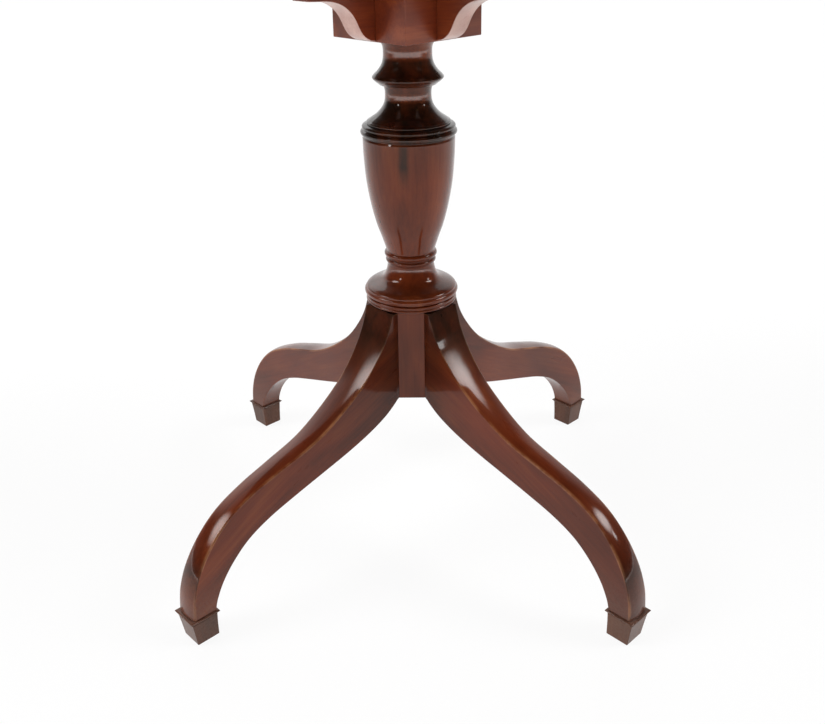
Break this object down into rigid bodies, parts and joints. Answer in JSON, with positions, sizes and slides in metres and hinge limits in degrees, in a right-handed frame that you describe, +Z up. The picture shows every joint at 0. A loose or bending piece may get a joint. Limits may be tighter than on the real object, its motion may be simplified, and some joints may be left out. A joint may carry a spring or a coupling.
{
  "type": "tilt top table",
  "caption": "Pedestal table with a hinged tilting rectangular top, a turned urn column and swept legs with block feet.",
  "frame": {"origin": "on the floor, under the column's axis, at the centre of the object's plan", "axes": "+Z up; +X along the top's long sides; +Y towards the hinges, so the free edge of the top and its catch are towards -Y; the legs and bearer arms lie on the diagonals"},
  "size_m": [0.9, 0.6, 0.7323],
  "materials": {
    "mahogany": "french polished, dark red-brown",
    "mahogany_turned": "french polished, darker red-brown",
    "mahogany_top": "french polished, figured, red-brown",
    "brass": "aged, lacquered",
    "iron": "dull black",
    "steel_screw": "dulled steel"
  },
  "bodies": {
    "pedestal": {"bearer_arm_front_left": "mahogany", "bearer_arm_front_right": "mahogany", "bearer_arm_rear_left": "mahogany", "bearer_arm_rear_right": "mahogany", "brace_plate": "iron", "brace_screw_centre": "steel_screw", "brace_screw_front_left": "steel_screw", "brace_screw_front_right": "steel_screw", "brace_screw_rear_left": "steel_screw", "brace_screw_rear_right": "steel_screw", "column": "mahogany_turned", "column_wedge": "mahogany", "foot_block_front_left": "mahogany_turned", "foot_block_front_right": "mahogany_turned", "foot_block_rear_left": "mahogany_turned", "foot_block_rear_right": "mahogany_turned", "foot_collar_front_left": "mahogany_turned", "foot_collar_front_right": "mahogany_turned", "foot_collar_rear_left": "mahogany_turned", "foot_collar_rear_right": "mahogany_turned", "hinge_pin_left": "brass", "hinge_pin_right": "brass", "hinge_strap_left": "brass", "hinge_strap_right": "brass", "keeper_plate": "brass", "keeper_screw_1": "brass", "keeper_screw_2": "brass", "leg_front_left": "mahogany", "leg_front_right": "mahogany", "leg_post": "mahogany", "leg_rear_left": "mahogany", "leg_rear_right": "mahogany", "strap_screw_left_1": "brass", "strap_screw_left_2": "brass", "strap_screw_right_1": "brass", "strap_screw_right_2": "brass", "tilt_block": "mahogany"},
    "top": {"catch_plate": "brass", "catch_screw_1": "brass", "catch_screw_2": "brass", "catch_screw_3": "brass", "catch_screw_4": "brass", "hinge_leaf_left": "brass", "hinge_leaf_right": "brass", "leaf_screw_left_1": "brass", "leaf_screw_left_2": "brass", "leaf_screw_right_1": "brass", "leaf_screw_right_2": "brass", "tabletop": "mahogany_top"},
    "bolt": {"catch_bolt": "brass", "catch_knob": "brass"}
  },
  "joints": [
    {"name": "top_tilt", "type": "hinge", "parent": "pedestal", "child": "top", "pos_m": [0, 0.1205, 0.7089], "axis": [-1, 0, 0], "range_deg": [0, 90]},
    {"name": "bolt_slide", "type": "slide", "parent": "top", "child": "bolt", "axis": [-0.7071, 0.7071, 0], "range_m": [0, 0.012]}
  ]
}
